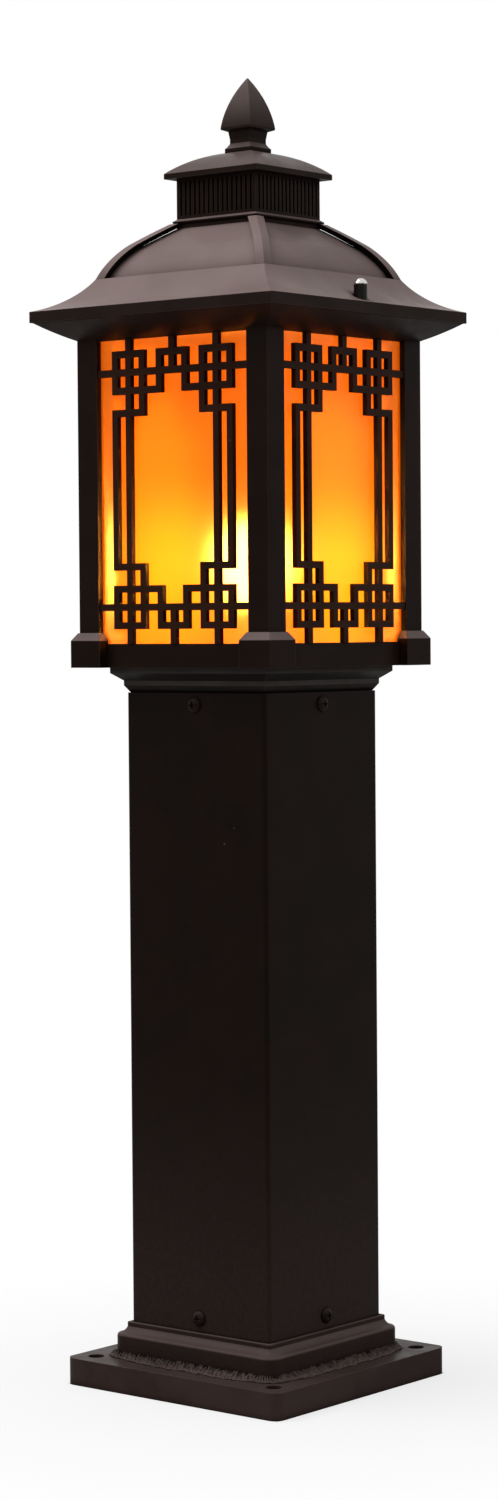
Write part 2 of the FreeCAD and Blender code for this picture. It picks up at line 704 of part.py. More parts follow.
def top_frame():
    """Casting on the posts: a flared soffit outside, a channel and corner blocks inside, two studs."""
    edge_foot = frame_top - size.frame_edge
    solid = squared("frame_solid", [(lantern_half - size.soffit_inset, lantern_top), (frame_half, edge_foot),
                                    (frame_half, frame_top)], {0: size.soffit_radius})
    inner = opening_half - size.frame_ledge
    opening = slab("frame_opening", inner, lantern_top, frame_top)
    channel_inner = inner + size.channel_floor
    channel_outer = frame_half - size.channel_margin
    floor = lantern_top + size.channel_floor
    section = [(channel_inner, floor), (lantern_half - size.channel_step, floor),
               (channel_outer, lantern_top + size.channel_rise), (channel_outer, frame_top),
               (channel_inner, frame_top)]
    channel = prism("frame_channel", upright_sketch("frame_channel_outline", section),
                    (opening_half - size.channel_end) * 2)
    channels = four("frame_channels", channel)
    slack = size.socket_slack
    screw_seat = frame_top - size.post_screw_sink
    socket = box("frame_socket", (opening_half - slack, opening_half - slack, lantern_top),
                 (lantern_half + slack, lantern_half + slack, lantern_top + size.post_tenon))
    screw_way = fuse("frame_screw_way",
                     post("frame_screw_hole", size.post_screw, lantern_top, frame_top,
                          post_centre, post_centre),
                     post("frame_head_hole", size.post_screw_head + size.head_room, screw_seat, frame_top,
                          post_centre, post_centre))
    slot = box("frame_slot", (-opening_half - size.slot_depth, -glass_front - size.glass_slack, lantern_top),
               (opening_half + size.slot_depth, -glass_back + size.glass_slack,
                lantern_top + size.glass_rise + size.glass_slack))
    stud_foot = frame_top - size.stud_depth
    threads = stud_pair("frame_threads", post("frame_thread", size.stud, stud_foot, frame_top, stud_place, 0))
    keep("top_frame", cut("top_frame", solid, opening, channels, four("frame_sockets", socket),
                          four("frame_screw_ways", screw_way), four("frame_slots", slot), threads))
    hole = post("gasket_hole", size.stud_hole, frame_top, roof_seat, stud_place, 0)
    holes = stud_pair("gasket_holes", hole)
    keep("roof_gasket", cut("roof_gasket", slab("gasket_solid", gasket_outer, frame_top, roof_seat),
                            slab("gasket_hollow", gasket_inner, frame_top, roof_seat), holes))
    studs = stud_pair("roof_studs", post("stud_one", size.stud, stud_foot,
                                         spot_level + size.stud_washer_thickness + size.stud_rise,
                                         stud_place, 0))
    keep("roof_studs", studs)


def stud_pair(name, one):
    return group(name, [placed(f"{name}_{turn}", one, turn) for turn in (0, 180)])


def dome_outline(offset, drop):
    """Right half of the dome: an offset inside the ribs' outer face, up to a drop below the crown."""
    run = shoulder_half - crown_half
    rise = size.crown_rise - size.shoulder_rise
    slope = (run * run + rise * rise).root()
    points = [(break_half - offset, break_level),
              (shoulder_half - offset * SHOULDER_IN,
               break_level + size.shoulder_rise - offset * SHOULDER_DOWN),
              (crown_half - offset * slope / rise + drop * run / rise, crown_level - drop)]
    return points, {0: size.lower_dome_radius, 1: size.upper_dome_radius}


def roof():
    """Skirt with its eave, dome, hip ribs, vent, cap and finial, tied together by one rod."""
    frame_room = frame_half + size.roof_gap
    seat_half = frame_half - size.seat_inset
    dome_foot = break_half - size.rib_rise
    neck_half = dome_foot - size.dome_wall
    skirt = squared("skirt_solid", [(eave_half, eave_bottom), (eave_half, eave_top),
                                    (break_half, break_level)], {1: -size.skirt_radius})
    hollow = squared("skirt_hollow", [(seat_half, roof_seat), (neck_half, break_level - size.dome_lip),
                                      (neck_half, break_level)])
    room = slab("skirt_room", frame_room, eave_bottom, roof_seat)
    stud_way = fuse("skirt_stud_way",
                    post("skirt_stud_hole", size.stud_hole, roof_seat, break_level, stud_place, 0),
                    post("skirt_spot_face", size.spot_face, spot_level, break_level, stud_place, 0))
    keep("roof_skirt", cut("roof_skirt", skirt, hollow, room, stud_pair("skirt_stud_ways", stud_way)))

    outer, arcs = dome_outline(size.rib_rise, Size("0"))
    inner, inner_arcs = dome_outline(size.rib_rise + size.dome_wall, size.crown_plate)
    lip_half = neck_half - size.roof_gap
    lip_foot = break_level - size.dome_lip
    curb = slab("dome_curb", vent_half, crown_level - size.curb_height, crown_level)
    dome_solid = fuse("dome_solid", squared("dome_panels", outer, arcs), curb)
    lip_top = break_level + size.dome_lip
    lip = cut("dome_lip_ring", slab("dome_lip_block", lip_half, lip_foot, lip_top),
              slab("dome_lip_hollow", lip_half - size.dome_wall, lip_foot, lip_top))
    dome_hollow = squared("dome_hollow", inner, inner_arcs)
    rod_hole = post("dome_rod_hole", size.tie_rod, break_level, crown_level)
    keep("roof_dome", fuse("roof_dome", cut("dome_shell", dome_solid, dome_hollow, rod_hole), lip))
    ribs(dome_solid)
    vent()
    cap_and_finial()


def ribs(dome_solid):
    """Raised angle strips along the four hips of the dome."""
    outer, arcs = dome_outline(Size("0"), Size("0"))
    shell = cut("rib_shell", squared("rib_solid", outer, arcs), dome_solid)
    narrow = [(x - size.rib_width, z) for x, z in outer]
    low = (narrow[0][0], break_level - size.cut_margin)
    high = (narrow[-1][0], crown_level + size.cut_margin)
    outline, bends = both_sides([low] + narrow + [high], {i + 1: radius for i, radius in arcs.items()})
    sketch = upright_sketch("rib_gap_outline", outline, bends)
    gaps = [prism(f"rib_gap_{turn}", sketch, full_reach, turn) for turn in (0, 90)]
    strips = cut("rib_strips", shell, *gaps)
    quarter = box("rib_quarter", (Size("0"), Size("0"), break_level), (eave_half, eave_half, crown_level))
    strip = common("rib_one", strips, quarter)
    for turn in QUARTERS:
        name = f"hip_rib_{turn // 90 + 1}"
        keep(name, placed(name, strip, turn))


def vent():
    """Fluted square collar between dome and cap, with a flange at its foot and a web across it."""
    foot = crown_level
    half = vent_half
    flange_half = half + size.vent_flange_margin
    edge = size.vent_flange / 4
    solid = squared("vent_solid", [(flange_half - edge, foot), (flange_half, foot + edge),
                                   (flange_half, foot + size.vent_flange - edge * 2),
                                   (half, foot + size.vent_flange), (half, vent_top)])
    hollow = slab("vent_hollow", half - size.vent_wall, foot, vent_top - size.vent_web)
    rod_hole = post("vent_rod_hole", size.tie_rod, foot, vent_top)
    low = foot + size.vent_flange + size.flute_margin
    high = cap_bottom - size.flute_margin
    count = int(number(size.flute_count))
    pitch = (half - size.flute_margin) * 2 / size.flute_count
    flutes = []
    for i in range(count):
        middle = -half + size.flute_margin + pitch * (i + 0.5)
        flutes.append(box(f"flute_{i}", (middle - size.flute_width / 2, -half, low),
                          (middle + size.flute_width / 2, -half + size.flute_depth, high)))
    row = group("flute_row", flutes)
    keep("vent_collar", cut("vent_collar", cut("vent_shell", solid, hollow, rod_hole), four("flutes", row)))


def cap_and_finial():
    """Cap over the vent, four-sided finial, and the rod and nut that hold them to the dome."""
    cap_half = vent_half + size.cap_overhang
    land = size.finial_foot / 2
    wall = size.cap_wall
    recess = vent_half + size.vent_slack
    cap_solid = squared("cap_solid", [(cap_half, cap_bottom), (cap_half, cap_edge), (land, cap_top)],
                        {1: size.cap_radius})
    cap_hollow = squared("cap_hollow", [(recess - wall, cap_bottom), (recess - wall, cap_edge + wall),
                                        (land, cap_top - wall)])
    room = slab("cap_room", recess, cap_bottom, vent_top)
    rod_hole = post("cap_rod_hole", size.tie_rod, cap_bottom, cap_top)
    keep("roof_cap", cut("roof_cap", cap_solid, cap_hollow, room, rod_hole))

    foot = cap_top
    neck_level = foot + size.finial_neck_height
    lip_level = foot + size.finial_lip_height
    throat_level = lip_level - size.finial_edge * 2
    foot_half = size.finial_foot / 2
    neck_half = size.finial_neck / 2
    lip_half = size.finial_lip / 2
    tip = foot + size.finial_height
    bud = squared("finial_solid", [(foot_half, foot), (foot_half, foot + size.finial_foot_height),
                                   (neck_half, foot + size.finial_throat), (neck_half, neck_level),
                                   (neck_half + size.finial_swell, throat_level),
                                   (lip_half, lip_level - size.finial_edge), (lip_half, lip_level),
                                   (size.finial_tip / 2, tip)],
                  {1: -size.finial_cove, 6: size.finial_radius})
    bore = post("finial_bore", size.tie_rod, foot, foot + size.finial_bore_depth)
    keep("finial", cut("finial", bud, bore))

    washer_top = crown_level - size.crown_plate
    nut_top = washer_top - size.tie_washer_thickness
    keep("tie_washer", cut("tie_washer", post("tie_washer_solid", size.tie_washer, nut_top, washer_top),
                           post("tie_washer_hole", size.tie_rod, nut_top, washer_top)))
    nut_foot = nut_top - size.tie_nut_height
    keep("tie_nut", cut("tie_nut", hexagon("tie_nut_solid", size.tie_nut, nut_foot, nut_top),
                        post("tie_nut_hole", size.tie_rod, nut_foot, nut_top)))
    keep("tie_rod", post("tie_rod", size.tie_rod, nut_top - size.tie_rod_tail, foot + size.finial_bore_depth))


def roof_nuts():
    """Washers and tall domed nuts on the two studs."""
    washer_top = spot_level + size.stud_washer_thickness
    washer = cut("stud_washer_one",
                 post("stud_washer_solid", size.stud_washer, spot_level, washer_top, stud_place, 0),
                 post("stud_washer_hole", size.stud_hole, spot_level, washer_top, stud_place, 0))
    keep("stud_washers", stud_pair("stud_washers", washer))
    half = size.cap_nut / 2
    dome = size.cap_nut_dome
    bore = size.stud / 2 + size.thread_gap
    profile = [(bore, 0), (half, 0), (half, size.cap_nut_height - dome), (0, size.cap_nut_height),
               (0, size.cap_nut_bore), (bore, size.cap_nut_bore)]
    nut = turned("cap_nut_one", profile, {2: (half * half + dome * dome) / dome / 2})
    for side, place in (("right", stud_place), ("left", -stud_place)):
        keep(f"cap_nut_{side}", placed(f"cap_nut_{side}", nut, at=(place, 0, washer_top)))


def electrics():
    """Bracket, lampholder and bulb on the tray floor, with the wiring beside them."""
    length = size.bracket_length / 2
    width = size.bracket_width / 2
    plate = box("bracket_plate", (-length, -width, floor_top), (length, width, holder_seat))
    hole = post("bracket_hole", size.bracket_screw, floor_top, holder_seat, size.bracket_screw_pitch / 2, 0)
    keep("lamp_bracket", cut("lamp_bracket", plate, bracket_pair("bracket_holes", hole)))
    screw = pan_screw("bracket_screw_one", size.bracket_screw, size.bracket_screw_head,
                      size.bracket_screw_rise, size.bracket_thickness + size.tray_floor)
    set_screw = placed("bracket_screw_set", screw, at=(size.bracket_screw_pitch / 2, 0, holder_seat))
    keep("bracket_screws", bracket_pair("bracket_screws", set_screw))

    foot = size.holder_foot / 2
    outside = size.holder_width / 2
    inside = size.bulb_cap / 2 + size.bulb_gap
    shoulder = holder_seat + size.holder_shoulder
    base = holder_seat + size.holder_base
    holder = turned("holder_body", [(0, holder_seat), (foot, holder_seat), (outside, shoulder),
                                    (outside, holder_top), (inside, holder_top), (inside, base), (0, base)],
                    {1: size.holder_width / 2})
    lead_hole = placed("holder_lead_hole", post("holder_lead_rod", size.lead_width, 0, size.holder_width), 90,
                       (0, 1, 0), (0, 0, holder_seat + size.lead_exit))
    keep("lampholder", cut("lampholder", holder, lead_hole))
    bulb(base)
    wiring()


def bulb(base):
    """Screw cap and pear-shaped glass, as one lamp that turns in the holder."""
    cap_foot = base
    cap_half = size.bulb_cap / 2
    cap_top_level = cap_foot + size.bulb_cap_length
    contact = size.bulb_contact / 2
    shell = turned("bulb_cap", [(0, cap_foot), (contact, cap_foot), (cap_half, cap_foot + contact / 2),
                                (cap_half, cap_top_level), (0, cap_top_level)])
    keep("bulb_cap", shell)
    round_half = size.bulb_width / 2
    neck_half = size.bulb_neck / 2
    throat = size.bulb_throat / 2
    glass_top = cap_top_level + size.bulb_height
    equator = glass_top - round_half
    flare_top = holder_top + size.bulb_flare
    out = round_half - neck_half
    up = equator - flare_top
    pear = turned("bulb_glass", [(0, cap_top_level), (throat, cap_top_level), (throat, holder_top),
                                 (neck_half, flare_top), (round_half, equator), (0, glass_top)],
                  {3: (out * out + up * up) / out / 2, 4: round_half})
    keep("bulb_glass", pear)


def wiring():
    """Cable gland, terminal block, the lead from it into the lampholder, and the earth screw."""
    place = size.gland_offset
    foot = tray_foot - size.gland_nut_rise
    head = floor_top + size.gland_rise
    body = fuse("gland_body", post("gland_thread", size.gland, foot, floor_top, 0, place),
                hexagon("gland_hex", size.gland_collar, floor_top, head, 0, place))
    keep("cable_gland", cut("cable_gland", body, post("gland_way", size.gland_bore, foot, head, 0, place)))

    middle = size.terminal_offset
    half_length = size.terminal_length / 2
    half_width = size.terminal_width / 2
    top = floor_top + size.terminal_height
    block = box("terminal_solid", (middle - half_width, -half_length, floor_top),
                (middle + half_width, half_length, top))
    lead_level = holder_seat + size.lead_exit
    wells = [post(f"terminal_well_{side}_{i}", size.terminal_hole, top - size.terminal_height / 3, top,
                  middle + half_width / 2 * side, size.terminal_pitch * i)
             for side in (-1, 1) for i in (-1, 0, 1)]
    lead_end = middle - half_width + size.lead_entry
    rod = post("lead_rod", size.lead_width, 0, lead_end - size.lead_inside)
    lead = placed("terminal_lead", rod, 90, (0, 1, 0), (size.lead_inside, 0, lead_level))
    keep("terminal_block", cut("terminal_block", block, *wells, lead))
    keep("terminal_lead", lead)

    place = -size.earth_offset
    shank = post("earth_shank", size.earth_screw, tray_foot, floor_top, place, place)
    head = hexagon("earth_head_block", size.earth_head, floor_top, floor_top + size.earth_rise, place, place)
    keep("earth_screw", fuse("earth_screw", shank, head))


def check_and_write():
    """Stops if any object failed or any piece isn't sound, then writes one file for each piece."""
    doc.recompute()
    for item in doc.Objects:
        if "Invalid" in item.State or "Error" in item.State:
            raise RuntimeError(f"{item.Label} failed: {item.State}")
    os.makedirs("parts", exist_ok=True)
    for name, piece in PIECES.items():
        shape = piece.Shape
        if shape.isNull() or not shape.isValid() or not shape.Solids:
            raise RuntimeError(f"{name} has no sound solid")
    for name, piece in PIECES.items():
        piece.Shape.exportStep(f"parts/{name}.step")
        print(f"{name:22s} solids {len(piece.Shape.Solids):2d}  volume {piece.Shape.Volume / 1000:9.2f} cm3")


base_plate()
high_screw_holes = column()
collar()
neck_bolt_ways = neck(high_screw_holes)
tray(neck_bolt_ways)
posts()
lattice()
top_frame()
roof()
roof_nuts()
electrics()
check_and_write()
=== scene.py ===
import math
import bmesh
import bpy
from mathutils import Matrix, Vector, noise


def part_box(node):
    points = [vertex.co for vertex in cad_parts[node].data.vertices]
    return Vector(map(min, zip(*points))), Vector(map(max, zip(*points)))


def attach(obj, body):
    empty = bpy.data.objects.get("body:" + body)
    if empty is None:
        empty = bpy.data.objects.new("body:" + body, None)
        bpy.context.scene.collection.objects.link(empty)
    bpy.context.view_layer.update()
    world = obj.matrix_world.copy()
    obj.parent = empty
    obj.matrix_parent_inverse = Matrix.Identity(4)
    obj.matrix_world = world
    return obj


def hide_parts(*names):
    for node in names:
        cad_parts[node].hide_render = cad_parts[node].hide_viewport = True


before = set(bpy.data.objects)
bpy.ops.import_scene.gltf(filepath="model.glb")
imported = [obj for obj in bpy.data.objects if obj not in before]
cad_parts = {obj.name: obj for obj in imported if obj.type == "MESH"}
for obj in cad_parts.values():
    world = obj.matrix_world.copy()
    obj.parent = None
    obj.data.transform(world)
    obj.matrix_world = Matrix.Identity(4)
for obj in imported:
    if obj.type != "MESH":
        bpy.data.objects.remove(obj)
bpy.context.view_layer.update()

MM = 0.001
WHITE = (1, 1, 1, 1)

# The paint's patterns, in cells per metre, and its depths.
CLOUD_SCALE = 22
FINE_SCALE = 260
SHEEN_SCALE = 55
SPECK_SCALE = 95
PEEL_SCALE = 700
PEEL_DEPTH = 0.03 * MM
CREVICE_REACH = 9 * MM

# What all paint has in common: its gloss, and the colours of its places.
PAINT_GLOSS = 0.045
PAINT_GLOSS_TINT = (1.0, 0.82, 0.74, 1)
# Painted light: the paler tone where the paint faces up, as lit from above.
TOP_LIGHT_TONE = (0.215, 0.158, 0.149, 1)
# The paler tone mixed in near the floor.
NEAR_FLOOR_TONE = (0.036, 0.022, 0.019, 1)
SHADED = (0.0022, 0.0012, 0.0010, 1)
SPECK = (0.22, 0.18, 0.16, 1)
# Painted highlight along the open convex edges.
EDGE_HIGHLIGHT_TONE = (0.150, 0.105, 0.090, 1)
# The heights over which the paint turns paler towards the floor.
NEAR_FLOOR_FROM, NEAR_FLOOR_TO = 20 * MM, 300 * MM

# The lit lantern. Levels are heights above the floor, and a pane's painted glow is full at PANE_REACH from the
# bulb.
BULB_NECK_LEVEL = 660 * MM
BULB_LEVEL = 690 * MM
BULB_STRENGTH = 2500.0
BULB_LIGHT = (1.0, 0.92, 0.80, 1)
BULB_WARM, BULB_WHITE = (0.9, 0.8, 0.6, 1), (1.0, 0.95, 0.85, 1)
PANE_REACH = 98.5 * MM
PANE_GLOW, PANE_LEAST_GLOW = 0.40, 0.20
AMBER_DEEP, AMBER_LIGHT = (1.0, 0.40, 0.052, 1), (1.0, 0.44, 0.062, 1)
AMBER_GLOSS_TINT = (1.0, 0.45, 0.06, 1)
GLOW_FAR, GLOW_NEAR = (1.0, 0.165, 0.001, 1), (1.0, 0.36, 0.008, 1)

# The weld: its mesh, how far it goes past the CAD bead, into the collar and into the plate, and its ripples.
WELD_AROUND, WELD_ACROSS = 1800, 22
WELD_PAST_BEAD = 6 * MM
WELD_IN_COLLAR = 0.3 * MM
WELD_IN_PLATE = 0.1 * MM
WELD_BEND = 10.5 * MM
CORNER_REACH = 28 * MM
RIPPLE_PITCH = 3.1 * MM
RIPPLE_BOW = 3.2 * MM
EDGE_NOISE, LUMP_NOISE = 70, 190

# The nut is bare metal from this far below its top.
NUT_BARE_DEPTH = 4.4 * MM

# The floor, and how its shaded middle turns into the plain background.
FLOOR_RADIUS = 6.0
FLOOR_DARKER, FLOOR_PALER = (0.93, 0.93, 0.93, 1), (0.95, 0.95, 0.95, 1)
SHADE_FROM, SHADE_TO = 0.12, 0.55
SHADE_LEAST = 0.72
UNDER_PLATE = 1 * MM
WORLD_LIGHT = 0.55

# The camera, fitted to the photograph's square corners.
SENSOR_WIDTH = 36
LENS = 81.19
CAMERA_PLACE = (1.8425, -2.2390, 0.6488)
CAMERA_AHEAD = (-0.6362, 0.7715, 0)
CAMERA_PITCH = math.radians(2.095)
CAMERA_ROLL = math.radians(0.426)


class Nodes:
    """The node tree of one material or world, with short calls to add and link its nodes."""

    def __init__(self, tree):
        self.tree = tree

    def add(self, kind, inputs=None, **settings):
        node = self.tree.nodes.new(kind)
        for name, value in settings.items():
            setattr(node, name, value)
        for name, value in (inputs or {}).items():
            if isinstance(value, bpy.types.NodeSocket):
                self.tree.links.new(value, node.inputs[name])
            else:
                node.inputs[name].default_value = value
        return node

    def math(self, operation, first, second=0.0, third=0.0, clamp=False):
        inputs = {0: first, 1: second}
        if operation == "MULTIPLY_ADD":
            inputs[2] = third
        return self.add("ShaderNodeMath", inputs, operation=operation, use_clamp=clamp).outputs[0]

    def vector_math(self, operation, output, *values):
        node = self.add("ShaderNodeVectorMath", dict(enumerate(values)), operation=operation)
        return node.outputs[output]

    def steps(self, value, low, high, to_low=0.0, to_high=1.0):
        """value taken smoothly from low..high to to_low..to_high, held beyond them."""
        node = self.add("ShaderNodeMapRange", {"Value": value, "From Min": low, "From Max": high,
                                               "To Min": to_low, "To Max": to_high},
                        interpolation_type="SMOOTHSTEP")
        return node.outputs["Result"]

    def mix(self, share, first, second):
        node = self.add("ShaderNodeMix", {0: share, 6: first, 7: second}, data_type="RGBA")
        return node.outputs[2]

    def place(self):
        return self.add("ShaderNodeTexCoord").outputs["Object"]

    def noise(self, place, scale, detail):
        node = self.add("ShaderNodeTexNoise", {"Vector": place, "Scale": scale, "Detail": detail})
        return node.outputs["Fac"]

    def axes(self, place):
        return self.add("ShaderNodeSeparateXYZ", {0: place}).outputs

    def bump(self, height, distance, normal=None):
        inputs = {"Height": height, "Distance": distance}
        if normal is not None:
            inputs["Normal"] = normal
        return self.add("ShaderNodeBump", inputs).outputs["Normal"]

    def soft_edges(self, radius):
        return self.add("ShaderNodeBevel", {"Radius": radius}, samples=4).outputs["Normal"]


def material(name, **constants):
    """A new material, the helper for its nodes and its main shader with these constants set."""
    made = bpy.data.materials.new(name)
    made.use_nodes = True
    shader = made.node_tree.nodes["Principled BSDF"]
    for socket, value in constants.items():
        shader.inputs[socket.replace("_", " ")].default_value = value
    return made, Nodes(made.node_tree), shader


def feed(nodes, shader, **sockets):
    for socket, source in sockets.items():
        nodes.tree.links.new(source, shader.inputs[socket.replace("_", " ")])


def paint(name, deep, light, rough=0.38, grain=1.0, edge=0.7 * MM, top_light=1.0, edge_highlight=0.5, shade_under=0.0,
          paler_near_floor=False):
    """Semi-gloss paint over metal: mottled from deep to light, with painted light where it faces up, painted
    shade in its crevices, painted highlights on its edges, orange peel and a few specks.

    grain is how strong the peel is, edge the radius of its edges, bloom the share of painted light where it
    faces up, worn how strong the painted edge highlights are, under how dark the painted shade is where it faces
    down, and splashed makes it paler near the floor."""
    made, nodes, shader = material(name, Specular_IOR_Level=PAINT_GLOSS, Specular_Tint=PAINT_GLOSS_TINT)
    place = nodes.place()
    flat = nodes.add("ShaderNodeNewGeometry").outputs["Normal"]
    facing = nodes.axes(flat)[2]
    cloud = nodes.noise(place, CLOUD_SCALE, 4)
    fine = nodes.noise(place, FINE_SCALE, 3)
    shade = nodes.mix(nodes.steps(cloud, 0.35, 0.65), deep, light)
    shade = nodes.mix(nodes.math("MULTIPLY", fine, 0.25), shade, light)
    # Paler towards the floor.
    if paler_near_floor:
        near_floor_share = nodes.steps(nodes.axes(place)[2], NEAR_FLOOR_FROM, NEAR_FLOOR_TO, 1.0, 0.0)
        near_floor_share = nodes.math("MULTIPLY", near_floor_share, nodes.steps(fine, 0.2, 0.8, 0.35, 0.60))
        shade = nodes.mix(near_floor_share, shade, NEAR_FLOOR_TONE)

    # Painted light: paler where it faces up, as lit from above.
    top_light_share = nodes.steps(facing, 0.02, 0.62, 0.0, 0.94 * top_light)
    top_light_share = nodes.math("MULTIPLY", top_light_share, nodes.steps(cloud, 0.3, 0.7, 0.88, 1.0))
    shade = nodes.mix(top_light_share, shade, TOP_LIGHT_TONE)
    # Painted shade where it faces down.
    shade = nodes.mix(nodes.steps(facing, -0.45, -0.10, shade_under, 0.0), shade, SHADED)

    specks = nodes.add("ShaderNodeTexVoronoi", {"Vector": place, "Scale": SPECK_SCALE}).outputs
    rare = nodes.math("GREATER_THAN", nodes.axes(specks["Color"])[0], 0.985)
    dot = nodes.math("MULTIPLY", rare, nodes.steps(specks["Distance"], 0.03, 0.10, 1.0, 0.0))
    shade = nodes.mix(nodes.math("MULTIPLY", dot, 0.35), shade, SPECK)

    rounded = nodes.soft_edges(edge)
    open_air = nodes.add("ShaderNodeAmbientOcclusion", {"Distance": CREVICE_REACH}, samples=6).outputs["AO"]
    # Painted highlights on its open convex edges, where the bevelled normal turns away from the face.
    on_face = nodes.vector_math("DOT_PRODUCT", "Value", rounded, flat)
    edge_highlight_share = nodes.math("MULTIPLY", nodes.steps(on_face, 0.80, 0.995, 1.0, 0.0),
                        nodes.steps(open_air, 0.80, 0.97))
    edge_highlight_share = nodes.math("MULTIPLY", edge_highlight_share, nodes.steps(fine, 0.3, 0.6, 0.5 * edge_highlight, edge_highlight))
    shade = nodes.mix(edge_highlight_share, shade, EDGE_HIGHLIGHT_TONE)
    # Painted shade in its crevices and in the gaps between parts, from ambient occlusion.
    shade = nodes.mix(nodes.steps(open_air, 0.30, 0.78, 0.85, 0.0), shade, SHADED)

    roughness = nodes.steps(nodes.noise(place, SHEEN_SCALE, 4), 0.3, 0.7, rough - 0.05, rough + 0.07)
    roughness = nodes.math("ADD", roughness, nodes.steps(open_air, 0.55, 0.95, 0.45, 0.0), clamp=True)
    peel = nodes.bump(nodes.noise(place, PEEL_SCALE, 2), PEEL_DEPTH * grain, rounded)
    feed(nodes, shader, Base_Color=shade, Roughness=roughness, Normal=peel)
    return made


def metal(name, colour, dark, rough=0.3):
    """Bare metal with a soft mottle and fine scratches."""
    made, nodes, shader = material(name, Metallic=1.0)
    place = nodes.place()
    tone = nodes.mix(nodes.steps(nodes.noise(place, 180, 4), 0.35, 0.7), dark, colour)
    streaks = nodes.noise(place, 900, 2)
    roughness = nodes.steps(streaks, 0.3, 0.7, rough - 0.06, rough + 0.10)
    normal = nodes.bump(streaks, 0.02 * MM, nodes.soft_edges(0.4 * MM))
    feed(nodes, shader, Base_Color=tone, Roughness=roughness, Normal=normal)
    return made


def plastic(name, colour, other, rough, scale, depth):
    """Moulded plastic, rubber or glazed clay: a soft mottle and its own fine texture."""
    made, nodes, shader = material(name)
    place = nodes.place()
    tone = nodes.mix(nodes.steps(nodes.noise(place, 120, 4), 0.3, 0.7), colour, other)
    texture = nodes.noise(place, scale, 2)
    roughness = nodes.steps(texture, 0.3, 0.7, rough - 0.05, rough + 0.05)
    normal = nodes.bump(texture, depth, nodes.soft_edges(0.4 * MM))
    feed(nodes, shader, Base_Color=tone, Roughness=roughness, Normal=normal)
    return made


def amber_pane(name):
    """Frosted amber glass: it passes the bulb's light spread out, and has a painted glow, strongest where the
    bulb is near.
    """
    made, nodes, shader = material(name, Transmission_Weight=1.0, IOR=1.3, Specular_IOR_Level=0.3,
                                   Specular_Tint=AMBER_GLOSS_TINT)
    place = nodes.place()
    frost = nodes.noise(place, 420, 3)
    cloud = nodes.noise(place, 18, 3)
    tint = nodes.mix(cloud, AMBER_DEEP, AMBER_LIGHT)
    roughness = nodes.steps(frost, 0.3, 0.7, 0.30, 0.36)
    # Painted glow: the bulb's light as if scattered in the frosted glass, strongest nearest the bulb.
    away = nodes.vector_math("SUBTRACT", 0, place, (0, 0, BULB_LEVEL))
    near = nodes.math("DIVIDE", PANE_REACH, nodes.vector_math("LENGTH", "Value", away))
    strength = nodes.math("MULTIPLY_ADD", nodes.math("POWER", near, 3.0), PANE_GLOW, PANE_LEAST_GLOW)
    strength = nodes.math("MULTIPLY", strength, nodes.steps(cloud, 0.2, 0.8, 0.94, 1.06))
    hue = nodes.mix(nodes.steps(near, 0.72, 1.0), GLOW_FAR, GLOW_NEAR)
    feed(nodes, shader, Base_Color=tint, Roughness=roughness, Normal=nodes.bump(frost, 0.02 * MM),
         Emission_Color=hue, Emission_Strength=strength)
    return made


def lit_bulb(name):
    """A lit bulb of white glass, dimmer at its neck."""
    made, nodes, shader = material(name, Roughness=0.3, Emission_Color=BULB_LIGHT)
    place = nodes.place()
    glow = nodes.steps(nodes.axes(place)[2], BULB_NECK_LEVEL, BULB_LEVEL, 0.35, 1.0)
    glow = nodes.math("MULTIPLY", glow, nodes.steps(nodes.noise(place, 60, 2), 0.2, 0.8, 0.96, 1.04))
    feed(nodes, shader, Base_Color=nodes.mix(glow, BULB_WARM, BULB_WHITE),
         Emission_Strength=nodes.math("MULTIPLY", glow, BULB_STRENGTH))
    return made


def two_tone(name, level, lower, upper):
    """A steel nut painted dark up to a level, with a bare bright dome above it."""
    made, nodes, shader = material(name, Roughness=0.25, Specular_IOR_Level=0.1)
    place = nodes.place()
    ragged = nodes.math("MULTIPLY_ADD", nodes.noise(place, 700, 2), 2 * MM, nodes.axes(place)[2])
    bare = nodes.steps(ragged, level, level + 1.2 * MM)
    normal = nodes.bump(nodes.noise(place, 900, 2), 0.03 * MM, nodes.soft_edges(0.4 * MM))
    feed(nodes, shader, Base_Color=nodes.mix(bare, lower, upper), Metallic=bare, Normal=normal)
    return made


def mesh_object(name, mesh):
    """The scene object of a finished bmesh, which is freed."""
    data = bpy.data.meshes.new(name)
    mesh.to_mesh(data)
    mesh.free()
    made = bpy.data.objects.new(name, data)
    bpy.context.scene.collection.objects.link(made)
    return made


